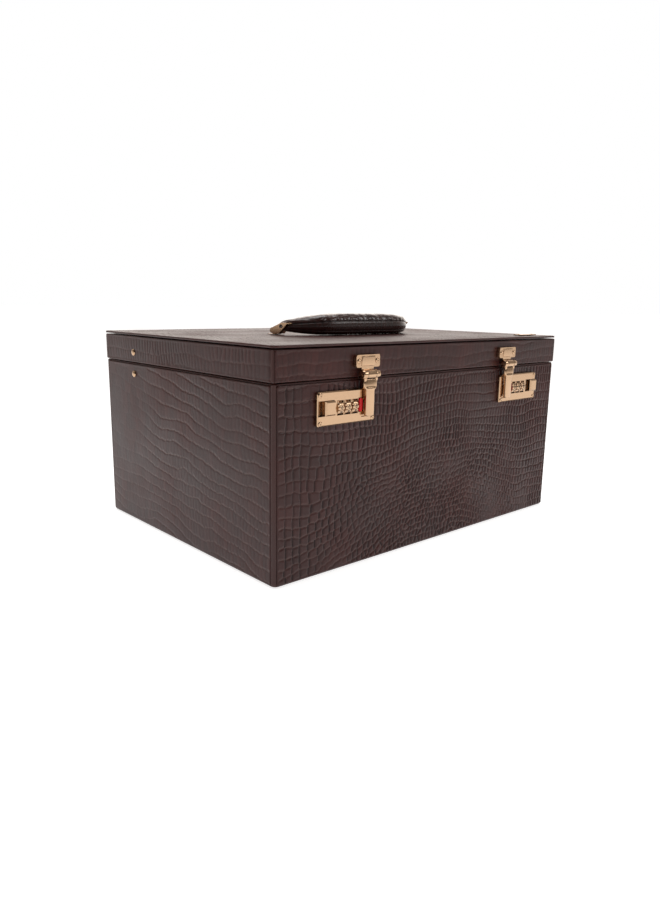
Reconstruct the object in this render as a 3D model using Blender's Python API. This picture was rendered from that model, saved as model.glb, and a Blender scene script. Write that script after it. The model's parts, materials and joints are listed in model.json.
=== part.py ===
"""Leather jewellery case: a rigid box with a lift-up lid, a fold-down top handle, two
combination locks with hasps, folding lid stays, a mirror in the lid and a lift-out tray.

The frame is metres with +Z up. The origin is the middle of the footprint on the surface
that the case stands on, the front (the locks) faces -Y, and the lid's hinge is at +Y.
Lengths below are in millimetres and become metres when a mesh is made.
"""
import math

import bmesh
import bpy

MM = 0.001

# Driving dimensions, in millimetres
WIDTH = 340.0
DEPTH = 253.0
BODY_RIM = 142.7
LID_RIM = 143.3
LID_BOARD = 165.2
LID_TOP = 168.0
CORNER = 4.0
WALL = 8.0
SKIN = 1.2
FIT = 0.3

# Places worked out from them
HALF_W = WIDTH / 2
HALF_D = DEPTH / 2
WRAP = 0.5
INNER_X = HALF_W - WRAP - WALL
INNER_Y = HALF_D - WRAP - WALL
SKIN_BACK = SKIN + FIT
FLOOR = 8.0
CEILING = 160.0

# Lid hinge, a long hinge outside the back wall
HINGE_Y = HALF_D + 2.3
HINGE_Z = 143.0
HINGE_HALF = 150.0
HINGE_KNUCKLES = 7
KNUCKLE_R = 1.9
HINGE_PIN_R = 0.8

# Lid stays: two equal links on studs that are equally far from the hinge
STAY = 58.8
BODY_STUD_ANGLE = math.radians(9.6)
LID_STUD_ANGLE = math.radians(8.4)
BODY_STUD = (HINGE_Y - STAY * math.cos(BODY_STUD_ANGLE), HINGE_Z - STAY * math.sin(BODY_STUD_ANGLE))
LID_STUD = (HINGE_Y - STAY * math.cos(LID_STUD_ANGLE), HINGE_Z + STAY * math.sin(LID_STUD_ANGLE))
ELBOW = (BODY_STUD[0] + LID_STUD[0] - HINGE_Y, BODY_STUD[1] + LID_STUD[1] - HINGE_Z)
LINK_THICK = 1.2
LINK_HALF = 3.0
BODY_LINK_X = 156.8
LID_LINK_X = 158.6
STUD_R = 1.5
STUD_BORE = 1.9
STUD_HEAD = 2.9

# Locks
FRONT = -HALF_D
LOCK_OUTER = 134.4
LOCK_INNER = 78.7
LOCK_LOW = 111.0
LOCK_HIGH = 135.2
LOCK_BACK = FRONT - FIT
LOCK_FACE = FRONT - 2.8
PLATE_INSIDE = LOCK_FACE + 1.2
CHANNEL_FLOOR = LOCK_FACE + 1.7
BAY = (94.2, 132.9)
BAY_Z = (113.2, 132.8)
BAY_BACK = -119.3
DIAL_Z = 123.0
DIAL_Y = -125.8
DIAL_R = 5.5
DIAL_HALF = 2.95
DIAL_CENTRES = (113.3, 106.3, 99.3)
AXLE_R = 0.8
SLIDER_HALF = 4.75
SLIDER_REST = {"left": -124.05, "right": 128.55}

# Hasps
HASP_X = 86.8
HASP_PIN = (-131.5, 145.5)
HASP_BARREL = 3.2
HASP_PIN_R = 1.1
STRAP_LOW = 115.0

# Handle, folded forward on the lid
HANDLE_PIVOT = (1.0, 171.6)
ARM = (69.0, 75.5)
LUG = (71.2, 73.0)
GRIP_BOW = 72.0
GRIP_END = 68.7
GRIP_MIDDLE_Y = -30.0

# Tray
TRAY = (155.0, 113.0, 96.3, 134.0)
TRAY_WALL = 3.0

SIDES = {"left": -1, "right": 1}


# ---- scene helpers ----
def clear_scene():
    for obj in list(bpy.data.objects):
        bpy.data.objects.remove(obj, do_unlink=True)


def finish(name, colour, metallic, roughness):
    """A Principled material, its colour given as linear red, green and blue."""
    mat = bpy.data.materials.new(name)
    mat.use_nodes = True
    bsdf = mat.node_tree.nodes["Principled BSDF"]
    bsdf.inputs["Base Color"].default_value = (*colour, 1.0)
    bsdf.inputs["Metallic"].default_value = metallic
    bsdf.inputs["Roughness"].default_value = roughness
    return mat


def pivot(name, y, z, x=0.0, parent=None):
    """An empty on a joint's axis, which carries the pieces of one moving body."""
    empty = bpy.data.objects.new(name, None)
    bpy.context.collection.objects.link(empty)
    empty["place"] = (x, y, z)
    base = parent["place"] if parent else (0.0, 0.0, 0.0)
    empty.parent = parent
    empty.location = [(a - b) * MM for a, b in zip((x, y, z), base)]
    return empty


def mesh_object(name, bm, origin):
    mesh = bpy.data.meshes.new(name)
    bmesh.ops.recalc_face_normals(bm, faces=bm.faces)
    for v in bm.verts:
        v.co = [(c - o) * MM for c, o in zip(v.co, origin)]
    bm.to_mesh(mesh)
    bm.free()
    obj = bpy.data.objects.new(name, mesh)
    bpy.context.collection.objects.link(obj)
    return obj


def combine(target, tool_bm, operation, count):
    """Adds a hidden tool object and a Boolean modifier that uses it."""
    origin = target["origin"]
    tool = mesh_object(f"{target.name}_tool_{count}", tool_bm, origin)
    tool.parent = target
    tool.hide_render = True
    tool.display_type = "WIRE"
    mod = target.modifiers.new(operation.title(), "BOOLEAN")
    mod.operation = operation
    mod.solver = "EXACT"
    mod.object = tool


def piece(name, bm, mat, carrier=None, add=(), cut=(), bevel=0.0, segments=2):
    """One named sub-part; its origin is its carrier's, which lies on the joint's axis."""
    origin = tuple(carrier["place"]) if carrier else (0.0, 0.0, 0.0)
    own_finish = mat.copy()
    own_finish.name = name
    obj = mesh_object(name, bm, origin)
    obj["origin"] = origin
    obj.parent = carrier
    obj.data.materials.append(own_finish)
    if bevel:
        mod = obj.modifiers.new("Bevel", "BEVEL")
        mod.width = bevel * MM
        mod.segments = segments
        mod.limit_method = "ANGLE"
        mod.angle_limit = math.radians(40)
    for count, tool in enumerate(add):
        combine(obj, tool, "UNION", count)
    for count, tool in enumerate(cut, len(add)):
        combine(obj, tool, "DIFFERENCE", count)
    obj.data.shade_smooth()
    obj.data.set_sharp_from_angle(angle=math.radians(35))
    return obj


# ---- outlines and solids ----
def arc(a, b, radius, start, end, count):
    """Points on an arc about (a, b), with the angles in degrees."""
    angles = [math.radians(start + (end - start) * i / count) for i in range(count + 1)]
    return [(a + radius * math.cos(t), b + radius * math.sin(t)) for t in angles]


def circle(a, b, radius, sides):
    return arc(a, b, radius, 0, 360, sides)[:-1]


def round_rect(a, b, radius, count=4):
    """A rounded rectangle from its (low, high) pairs."""
    points = arc(a[1] - radius, b[1] - radius, radius, 0, 90, count)
    points += arc(a[0] + radius, b[1] - radius, radius, 90, 180, count)
    points += arc(a[0] + radius, b[0] + radius, radius, 180, 270, count)
    points += arc(a[1] - radius, b[0] + radius, radius, 270, 360, count)
    return points


def rect(a, b):
    return [(a[0], b[0]), (a[1], b[0]), (a[1], b[1]), (a[0], b[1])]


def capsule(start, end, radius, count=6):
    """A flat link's outline between two (y, z) points."""
    turn = math.degrees(math.atan2(end[1] - start[1], end[0] - start[0]))
    points = arc(*end, radius, turn - 90, turn + 90, count)
    return points + arc(*start, radius, turn + 90, turn + 270, count)


PLACERS = {
    "X": lambda a, b, c: (c, a, b),
    "Y": lambda a, b, c: (a, c, b),
    "Z": lambda a, b, c: (a, b, c),
}


def stack(rings, axis, closed=False):
    """Joins outlines of equal length, each at its own height along the axis."""
    bm = bmesh.new()
    place = PLACERS[axis]
    loops = [[bm.verts.new(place(a, b, height)) for a, b in ring] for height, ring in rings]
    count = len(loops[0])
    pairs = list(zip(loops, loops[1:]))
    if closed:
        pairs.append((loops[-1], loops[0]))
    for low, high in pairs:
        for i in range(count):
            j = (i + 1) % count
            bm.faces.new((low[i], low[j], high[j], high[i]))
    if not closed:
        bm.faces.new(loops[0])
        bm.faces.new(loops[-1])
    return bm


def prism(outline, axis, low, high):
    return stack([(low, outline), (high, outline)], axis)


def box(x, y, z):
    return prism(rect(x, y), "Z", *z)


def rod(centre, radius, low, high, sides=16):
    """A round bar along X about a (y, z) centre."""
    return prism(circle(*centre, radius, sides), "X", low, high)


def turned(profile, centre, sides=20, closed=False):
    """A shape turned about an X axis at a (y, z) centre, from (x, radius) pairs."""
    return stack([(x, circle(*centre, r, sides)) for x, r in profile], "X", closed)


def joined(parts):
    """Several separate solids in one tool."""
    whole = bmesh.new()
    for part in parts:
        mesh = bpy.data.meshes.new("joined")
        part.to_mesh(mesh)
        part.free()
        whole.from_mesh(mesh)
        bpy.data.meshes.remove(mesh)
    return whole


def span(side, near, far):
    """An (x low, x high) pair on one side of the case, from distances to its middle."""
    return tuple(sorted((side * near, side * far)))


# ---- body of the case ----
def shell_ring(inset):
    a, b, r = HALF_W - WRAP - inset, HALF_D - WRAP - inset, CORNER - inset / 2
    return round_rect((-a, a), (-b, b), r)


def bay_window(side, depth):
    """The opening that a lock case stands in."""
    x = span(side, BAY[0] - FIT, BAY[1] + FIT)
    return box(x, (FRONT - 3, depth), (BAY_Z[0] - FIT, BAY_Z[1] + FIT))


def build_body(finishes):
    leather, wood, suede = finishes["leather"], finishes["wood"], finishes["suede"]
    low, high = 1.7, BODY_RIM - 1.2
    front_half, side_half = HALF_W - 3.0, HALF_D - 4.4
    recess_z = (low - FIT, high + FIT)
    face_x, face_y = HALF_W - SKIN_BACK, HALF_D - SKIN_BACK
    outside = 20.0
    panels = joined([
        box((-front_half - FIT, front_half + FIT), (-HALF_D - outside, -face_y), recess_z),
        box((-front_half - FIT, front_half + FIT), (face_y, HALF_D + outside), recess_z),
        box((-HALF_W - outside, -face_x), (-side_half - FIT, side_half + FIT), recess_z),
        box((face_x, HALF_W + outside), (-side_half - FIT, side_half + FIT), recess_z),
        box((-HALF_W + 4.7, HALF_W - 4.7), (-HALF_D + 4.7, HALF_D - 4.7), (-outside, 1.5)),
    ])
    bays = joined([bay_window(side, BAY_BACK + FIT) for side in SIDES.values()])
    room = box((-INNER_X, INNER_X), (-INNER_Y, INNER_Y), (FLOOR, BODY_RIM + outside))
    stud_bore = rod(BODY_STUD, STUD_BORE, -HALF_W - outside, HALF_W + outside)
    rings = [(FIT, shell_ring(2.2)), (0.8, shell_ring(0.9)), (1.6, shell_ring(0.25)), (2.8, shell_ring(0.0))]
    rings += [(BODY_RIM - 0.8, shell_ring(0.0)), (BODY_RIM, shell_ring(0.6))]
    piece("body_carcass", stack(rings, "Z"), wood, cut=(room, panels, bays, stud_bore))

    for name, sign in (("front", -1), ("back", 1)):
        y = tuple(sorted((sign * HALF_D, sign * (HALF_D - SKIN))))
        windows = [bay_window(side, BAY_BACK) for side in SIDES.values()] if sign < 0 else []
        cut = (joined(windows),) if windows else ()
        panel = box((-front_half, front_half), y, (low, high))
        piece(f"body_{name}_leather", panel, leather, cut=cut, bevel=0.5)
    for name, sign in SIDES.items():
        panel = box(span(sign, HALF_W - SKIN, HALF_W), (-side_half, side_half), (low, high))
        bore = rod(BODY_STUD, STUD_BORE, *span(sign, HALF_W - outside, HALF_W + outside))
        piece(f"body_{name}_leather", panel, leather, cut=(bore,), bevel=0.5)

    base = box((-HALF_W + 5, HALF_W - 5), (-HALF_D + 5, HALF_D - 5), (0.0, SKIN))
    piece("base_panel", base, suede, bevel=0.3, segments=1)


def build_inside(finishes):
    suede = finishes["suede"]
    ledge = TRAY[2] - FIT
    gap_x, gap_y = INNER_X - FIT, INNER_Y - FIT
    board = 4.0
    room = box((-gap_x + board, gap_x - board), (-gap_y + board, gap_y - board), (FLOOR + 2.5, ledge + 9))
    outer = box((-gap_x, gap_x), (-gap_y, gap_y), (FLOOR + FIT, ledge))
    piece("body_lining", outer, suede, cut=(room,))

    y = gap_y - board - FIT
    foot, crest = FLOOR + 2.8, ledge - 4
    outline = [(-y, foot), (y, foot), (y, crest)] + arc(0, crest + 6, 22, -15.8, -164.2, 8) + [(-y, crest)]
    piece("compartment_divider", prism(outline, "X", -1.5, 1.5), suede)


def build_tray(finishes):
    half_x, half_y, low, high = TRAY
    carrier = pivot("tray_lift", 0.0, low)
    floor = low + 2.5
    inner_x, inner_y = half_x - TRAY_WALL, half_y - TRAY_WALL
    middle = TRAY_WALL / 2
    pockets = [box((-inner_x, -middle), (-inner_y, inner_y), (floor, high + 9))]
    cell_x = (inner_x - middle - TRAY_WALL) / 2
    cell_y = (2 * inner_y - 2 * TRAY_WALL) / 3
    for column in range(2):
        for row in range(3):
            x = middle + column * (cell_x + TRAY_WALL)
            y = -inner_y + row * (cell_y + TRAY_WALL)
            pockets.append(box((x, x + cell_x), (y, y + cell_y), (floor, high + 9)))
    notches = joined([rod((0.0, high + 3), 15.0, *span(side, inner_x - 1, half_x + 9), sides=20)
                      for side in SIDES.values()])
    outer = box((-half_x, half_x), (-half_y, half_y), (low, high))
    piece("tray", outer, finishes["suede"], carrier, cut=(joined(pockets), notches))

    rolls, top = 8, 124.0
    pitch = 2 * (inner_y - 0.5) / rolls
    outline = [(inner_y - 0.5, floor + FIT)]
    for i in range(rolls):
        centre = inner_y - 0.5 - pitch * (i + 0.5)
        outline += arc(centre, top - 9.5, pitch / 2 - 0.4, 10, 170, 6)
    outline += [(-inner_y + 0.5, floor + FIT)]
    piece("ring_cushion", prism(outline, "X", -inner_x + 0.5, -middle - 0.5), finishes["velvet"], carrier)


# ---- hinge and stays ----
def hinge_leaf(name, finishes, carrier, own, root, tip):
    """One leaf: a plate on the back wall with a comb of knuckles round the pin."""
    step = 2 * HINGE_HALF / HINGE_KNUCKLES
    starts = [-HINGE_HALF + i * step for i in range(HINGE_KNUCKLES)]
    mine = [(x + 0.2, x + step - 0.2) for i, x in enumerate(starts) if i % 2 == own]
    up = 1 if tip > root else -1
    plate = box((-HINGE_HALF, HINGE_HALF), (HALF_D + FIT, HALF_D + 1.2), sorted((root, tip - up * 2.2)))
    fingers = joined([box(x, (HALF_D + FIT, HALF_D + 1.2), sorted((tip - up * 3.0, tip - up * 0.4)))
                      for x in mine])
    barrels = joined([rod((HINGE_Y, HINGE_Z), KNUCKLE_R, *x, sides=12) for x in mine])
    bore = rod((HINGE_Y, HINGE_Z), HINGE_PIN_R + 0.35, -HINGE_HALF - 2, HINGE_HALF + 2, sides=10)
    piece(name, plate, finishes["gold"], carrier, add=(fingers, barrels), cut=(bore,))


def stay_stud(name, finishes, side, centre, inner, carrier):
    """A round-headed stud through the side wall, with a washer face inside the link."""
    end = inner - 0.3
    profile = [(HALF_W + 1.3, 0.9), (HALF_W + 1.1, 1.9), (HALF_W + 0.7, 2.6), (HALF_W + FIT, STUD_HEAD),
               (HALF_W + FIT, STUD_R), (end, STUD_R), (end, 2.5), (end - 0.7, 2.5)]
    shape = turned([(side * x, r) for x, r in profile], centre, sides=16)
    piece(name, shape, finishes["gold"], carrier)


def build_hinge(finishes, lid):
    hinge_leaf("hinge_leaf_body", finishes, None, 0, 127.0, HINGE_Z)
    hinge_leaf("hinge_leaf_lid", finishes, lid, 1, 159.0, HINGE_Z)
    pin = rod((HINGE_Y, HINGE_Z), HINGE_PIN_R, -HINGE_HALF - 0.6, HINGE_HALF + 0.6, sides=10)
    piece("hinge_pin", pin, finishes["gold"])


def build_stays(finishes, lid):
    steel = finishes["gold"]
    for name, side in SIDES.items():
        stay_stud(f"body_stud_{name}", finishes, side, BODY_STUD, BODY_LINK_X, None)
        stay_stud(f"lid_stud_{name}", finishes, side, LID_STUD, LID_LINK_X, lid)
        body_x = span(side, BODY_LINK_X, BODY_LINK_X + LINK_THICK)
        lid_x = span(side, LID_LINK_X, LID_LINK_X + LINK_THICK)
        lower = pivot(f"body_link_pivot_{name}", *BODY_STUD)
        upper = pivot(f"lid_link_pivot_{name}", *LID_STUD, parent=lid)
        through = span(side, BODY_LINK_X - 3, LID_LINK_X + 5)
        elbow_pin = rod(ELBOW, 1.2, *span(side, BODY_LINK_X + 0.6, LID_LINK_X + LINK_THICK + 0.1), sides=12)
        piece(f"stay_link_body_{name}", prism(capsule(BODY_STUD, ELBOW, LINK_HALF), "X", *body_x), steel,
              lower, add=(elbow_pin,), cut=(rod(BODY_STUD, STUD_BORE, *through),))
        holes = joined([rod(LID_STUD, STUD_BORE, *through), rod(ELBOW, 1.65, *through)])
        piece(f"stay_link_lid_{name}", prism(capsule(LID_STUD, ELBOW, LINK_HALF), "X", *lid_x), steel,
              upper, cut=(holes,))


# ---- lid ----
def lid_ring(inset):
    a, b, r = HALF_W - inset, HALF_D - inset, max(CORNER - inset, 1.0)
    return round_rect((-a, a), (-b, b), r)


def build_lid(finishes, lid):
    leather, suede = finishes["leather"], finishes["suede"]
    outside = 20.0
    panel_half = HALF_W - 1.4
    face_y = HALF_D - SKIN_BACK
    rings = [(LID_RIM, lid_ring(0.6)), (LID_RIM + 0.7, lid_ring(0.0)), (LID_BOARD - 0.7, lid_ring(0.0)),
             (LID_BOARD, lid_ring(0.6))]
    room = box((-INNER_X, INNER_X), (-INNER_Y, INNER_Y), (LID_RIM - outside, CEILING))
    slots = joined([
        box((-panel_half - FIT, panel_half + FIT), y, (LID_RIM - outside, LID_BOARD + outside))
        for y in ((-HALF_D - outside, -face_y), (face_y, HALF_D + outside))])
    bore = rod(LID_STUD, STUD_BORE, -HALF_W - outside, HALF_W + outside)
    piece("lid_shell", stack(rings, "Z"), leather, lid, cut=(room, slots, bore))
    for name, sign in (("front", -1), ("back", 1)):
        y = tuple(sorted((sign * HALF_D, sign * (HALF_D - SKIN))))
        panel = box((-panel_half, panel_half), y, (LID_RIM + 0.1, LID_BOARD - 0.1))
        piece(f"lid_{name}_leather", panel, leather, lid, bevel=0.5)

    board = LID_BOARD + 1.0
    rings = [(LID_BOARD + FIT, lid_ring(5.0)), (board, lid_ring(5.0)), (board, lid_ring(0.5)),
             (board + 0.4, lid_ring(0.0)), (LID_TOP - 0.7, lid_ring(0.0)), (LID_TOP - 0.2, lid_ring(0.3)),
             (LID_TOP, lid_ring(1.0))]
    piece("lid_top_panel", stack(rings, "Z"), leather, lid)

    gap_x, gap_y = INNER_X - FIT, INNER_Y - FIT
    outer = box((-gap_x, gap_x), (-gap_y, gap_y), (LID_RIM + 1.0, CEILING - FIT))
    room = box((-gap_x + 1, gap_x - 1), (-gap_y + 1, gap_y - 1), (LID_RIM - outside, CEILING - 1.5))
    bore = rod(LID_STUD, STUD_BORE, -HALF_W, HALF_W)
    piece("lid_lining", outer, suede, lid, cut=(room, bore))

    mirror_x, mirror_y, back = 120.0, 86.0, CEILING - 1.8
    glass = box((-mirror_x, mirror_x), (-mirror_y, mirror_y), (back - 2.6, back))
    piece("mirror", glass, finishes["mirror"], lid)
    rim = 6.0
    outer = box((-mirror_x - rim, mirror_x + rim), (-mirror_y - rim, mirror_y + rim), (back - 3.4, back))
    hole = box((-mirror_x - FIT, mirror_x + FIT), (-mirror_y - FIT, mirror_y + FIT), (back - 9, back + 9))
    piece("mirror_frame", outer, finishes["gold"], lid, cut=(hole,))

    label = box((126.0, 152.0), (-116.0, -108.0), (LID_TOP + FIT, LID_TOP + 1.3))
    piece("lid_blank_plate", label, finishes["gold"], lid, bevel=0.4)


# ---- locks ----
def plate_ring(side, inset):
    x = span(side, LOCK_INNER + inset, LOCK_OUTER - inset)
    return round_rect(x, (LOCK_LOW + inset, LOCK_HIGH - inset), 1.4, 3)


def build_lock(name, side, finishes):
    gold = finishes["gold"]
    rings = [(LOCK_BACK, plate_ring(side, 0.0)), (LOCK_FACE + 0.8, plate_ring(side, 0.0)),
             (LOCK_FACE, plate_ring(side, 0.8))]
    front = LOCK_FACE - 9
    slot_half = DIAL_HALF + 0.2
    web = DIAL_CENTRES[2] - slot_half
    hollow = box(span(side, web, LOCK_OUTER - 0.7), (PLATE_INSIDE, 0), (LOCK_LOW + 0.8, LOCK_HIGH - 0.8))
    through = (front, LOCK_BACK + 9)
    windows = [box(span(side, x - slot_half, x + slot_half), through, (DIAL_Z - 5.3, DIAL_Z + 5.3))
               for x in DIAL_CENTRES]
    windows.append(box(span(side, 118.9, LOCK_OUTER - 0.7), through, (DIAL_Z - 5.0, DIAL_Z + 6.0)))
    channel = box(span(side, 81.9, 92.5), (front, CHANNEL_FLOOR), (LOCK_LOW + 3.5, LOCK_HIGH + 9))
    red_seat = box(span(side, 92.3, 95.7), (front, CHANNEL_FLOOR), (DIAL_Z - 4.7, DIAL_Z + 5.9))
    piece(f"lock_plate_{name}", stack(rings, "Y"), gold,
          cut=(hollow, joined(windows), channel, red_seat))

    case = box(span(side, *BAY), (FRONT + 0.2, BAY_BACK), BAY_Z)
    bays = joined([
        box(span(side, *x), (FRONT - 9, BAY_BACK - 0.7), (BAY_Z[0] + 0.7, BAY_Z[1] - 0.7))
        for x in ((BAY[0] + 1.0, 117.7), (118.5, BAY[1] - 0.6))])
    axle_hole = rod((DIAL_Y, DIAL_Z), AXLE_R + 0.3, *span(side, BAY[0] + 0.4, 119.2), sides=12)
    piece(f"lock_case_{name}", case, finishes["steel"], cut=(bays, axle_hole))
    axle = rod((DIAL_Y, DIAL_Z), AXLE_R, *span(side, BAY[0] + 0.7, 118.3), sides=12)
    piece(f"dial_axle_{name}", axle, finishes["steel"])

    insert = prism(round_rect(span(side, 92.0, 95.4), (DIAL_Z - 4.4, DIAL_Z + 5.6), 1.5, 4), "Y",
                   LOCK_FACE - 0.9, CHANNEL_FLOOR - FIT)
    piece(f"red_insert_{name}", insert, finishes["red"], bevel=0.5)
    build_dials(name, side, finishes)
    build_slider(name, finishes)


def build_dials(name, side, finishes):
    for number, x in enumerate(DIAL_CENTRES, 1):
        centre = side * x
        carrier = pivot(f"dial_pivot_{name}_{number}", DIAL_Y, DIAL_Z, x=centre)
        w, bore = DIAL_HALF, AXLE_R + 0.35
        profile = [(centre - w, DIAL_R - 0.4), (centre - w + 0.4, DIAL_R), (centre + w - 0.4, DIAL_R),
                   (centre + w, DIAL_R - 0.4), (centre + w, bore), (centre - w, bore)]
        wheel = turned(profile, (DIAL_Y, DIAL_Z), 20, closed=True)
        piece(f"dial_{name}_{number}", wheel, finishes["gold"], carrier)


def build_slider(name, finishes):
    """A thumb button on a wider tongue that stays behind the plate."""
    centre = SLIDER_REST[name]
    carrier = pivot(f"slider_home_{name}", LOCK_FACE, DIAL_Z, x=centre)
    tongue = rect((centre - 3.7, centre + 4.4), (DIAL_Z - 6.8, DIAL_Z + 7.4))
    z = (DIAL_Z - 4.7, DIAL_Z + 5.7)
    button = rect((centre - SLIDER_HALF, centre + SLIDER_HALF), z)
    crown = rect((centre - SLIDER_HALF + 1.3, centre + SLIDER_HALF - 0.6), (z[0] + 1.1, z[1] - 1.1))
    rings = [(LOCK_BACK, tongue), (LOCK_BACK - 1.0, tongue), (LOCK_BACK - 1.0, button),
             (LOCK_FACE - 1.4, button), (LOCK_FACE - 2.5, crown)]
    piece(f"slider_{name}", stack(rings, "Y"), finishes["gold"], carrier)


# ---- hasps ----
def build_hasp(name, side, finishes, lid):
    gold = finishes["gold"]
    centre = side * HASP_X
    y, z = HASP_PIN

    def across(half):
        return (centre - half, centre + half)

    barrel_half = 4.0
    plate = prism(round_rect(across(11.9), (150.4, 159.5), 1.6, 3), "Y", FRONT - 3.1, FRONT - FIT)
    neck = box(across(6.0), (FRONT - 2.6, FRONT - 0.5), (z + 3.5, 151.5))
    throat = box(across(barrel_half), (FRONT - 2.6, FRONT - 0.6), (z, 151.0))
    barrel = rod(HASP_PIN, HASP_BARREL, *across(barrel_half))
    bore = rod(HASP_PIN, HASP_PIN_R + 0.3, *across(20.0), sides=12)
    piece(f"hasp_plate_{name}", plate, gold, lid, add=(neck, throat, barrel), cut=(bore,))
    piece(f"hasp_pin_{name}", rod(HASP_PIN, HASP_PIN_R, *across(8.7), sides=12), gold, lid)

    carrier = pivot(f"hasp_pivot_{name}", y, z, x=centre, parent=lid)
    narrow, wide, fork = 4.25, 6.7, barrel_half + 0.3
    right = [(narrow, STRAP_LOW + 1.2), (narrow, 134.6), (wide, 136.4), (wide, z + 1.5), (fork, z + 1.5),
             (fork, z - 3.8)]
    outline = [(centre + a, b) for a, b in right] + [(centre - a, b) for a, b in reversed(right)]
    outline += [(centre - narrow + 1.2, STRAP_LOW), (centre + narrow - 1.2, STRAP_LOW)]
    strap = prism(outline, "Y", y - 2.0, y + 1.9)
    barrels = joined([rod(HASP_PIN, HASP_BARREL, *sorted((centre + s * fork, centre + s * 8.5)))
                      for s in (-1, 1)])
    hook = box(across(3.0), (y + 1.0, CHANNEL_FLOOR - FIT), (118.0, 126.0))
    bore = rod(HASP_PIN, HASP_PIN_R + 0.3, *across(20.0), sides=12)
    piece(f"hasp_strap_{name}", strap, gold, carrier, add=(barrels, hook), cut=(bore,))


# ---- handle ----
def build_handle(finishes, lid):
    y, z = HANDLE_PIVOT
    handle = pivot("handle_pivot", y, z, parent=lid)
    gold = finishes["gold"]
    tang_from = 64.3
    for name, side in SIDES.items():
        base = box(span(side, 67.4, 77.0), (y - 3.6, y + 3.6), (LID_TOP + FIT, LID_TOP + 0.8))
        lug = prism(arc(y, z, 2.3, 0, 180, 10) + [(y - 2.3, LID_TOP + 0.5), (y + 2.3, LID_TOP + 0.5)], "X",
                    *span(side, *LUG))
        bore = rod((y, z), 1.3, *span(side, ARM[0] - 2, ARM[1] + 2), sides=12)
        piece(f"handle_bracket_{name}", base, gold, lid, add=(lug,), cut=(bore,))

        outline = arc(y, z, 2.4, -90, 100, 10)
        outline += [(-12.5, 178.4), (-19.8, 178.4), (-20.2, 177.6), (-9.0, LID_TOP + 1.1)]
        fork = box(span(side, LUG[0] - FIT, LUG[1] + FIT), (y - 3.4, y + 9), (z - 9, z + 9))
        pin = rod((y, z), 1.0, *span(side, ARM[0] + 0.5, ARM[1] - 0.5), sides=12)
        tang = box(span(side, tang_from, ARM[0] + 1), (-17.0, -14.0), (175.4, 178.0))
        obj = piece(f"handle_arm_{name}", prism(outline, "X", *span(side, *ARM)), gold, handle,
                    cut=(fork,))
        combine(obj, pin, "UNION", 8)
        combine(obj, tang, "UNION", 9)

    sections, points = 24, 16
    rings = []
    for i in range(sections + 1):
        x = GRIP_END * math.sin(math.pi * (i / sections - 0.5))
        u = x / GRIP_BOW
        middle = GRIP_MIDDLE_Y + 18.0 * abs(u) ** 5
        half = 11.0 * (1 - 0.59 * u ** 6)
        top, bottom = LID_TOP + 18.5 - 6.8 * u ** 4, LID_TOP + FIT + 3.2 * u ** 6
        centre, rise = (top + bottom) / 2, (top - bottom) / 2
        ring = []
        for k in range(points):
            t = 2 * math.pi * k / points
            c, s = math.cos(t), math.sin(t)
            ring.append((middle + half * math.copysign(abs(c) ** 0.6, c),
                         centre + rise * math.copysign(abs(s) ** 0.8, s)))
        rings.append((x, ring))
    sockets = joined([box(span(side, tang_from - FIT, ARM[1]), (-17.3, -13.7), (175.1, 178.3))
                      for side in SIDES.values()])
    piece("handle_grip", stack(rings, "X"), finishes["leather"], handle, cut=(sockets,))


def build():
    clear_scene()
    finishes = {
        "leather": finish("croc_leather", (0.055, 0.022, 0.020), 0.0, 0.35),
        "wood": finish("wrapped_board", (0.045, 0.018, 0.016), 0.0, 0.5),
        "suede": finish("suede", (0.42, 0.28, 0.18), 0.0, 0.95),
        "velvet": finish("velvet", (0.50, 0.35, 0.24), 0.0, 0.9),
        "gold": finish("champagne_gold", (0.75, 0.55, 0.30), 1.0, 0.22),
        "steel": finish("plated_steel", (0.45, 0.40, 0.33), 1.0, 0.4),
        "red": finish("red_enamel", (0.50, 0.01, 0.01), 0.0, 0.25),
        "mirror": finish("mirror_glass", (0.9, 0.9, 0.9), 1.0, 0.02),
    }
    lid = pivot("lid_hinge", HINGE_Y, HINGE_Z)
    build_body(finishes)
    build_inside(finishes)
    build_tray(finishes)
    build_hinge(finishes, lid)
    build_stays(finishes, lid)
    build_lid(finishes, lid)
    for name, side in SIDES.items():
        build_lock(name, side, finishes)
        build_hasp(name, side, finishes, lid)
    build_handle(finishes, lid)


build()
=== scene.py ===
# %% [markdown]
# # A leather jewellery case, piece by piece
#
# This lesson dresses a working model of a lockable jewellery case. The working model, which
# we call the frame, already has every board, hinge and dial in its place and at its size.
# Here we give it what the eye looks for: embossed leather, plated locks, a padded handle
# and a suede interior. Lengths are in millimetres, and make_mesh turns them into metres.

# %% Load the frame and keep its box
import json
import math

import bpy
import numpy as np
from mathutils import Matrix, Vector
from mathutils.geometry import tessellate_polygon


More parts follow.
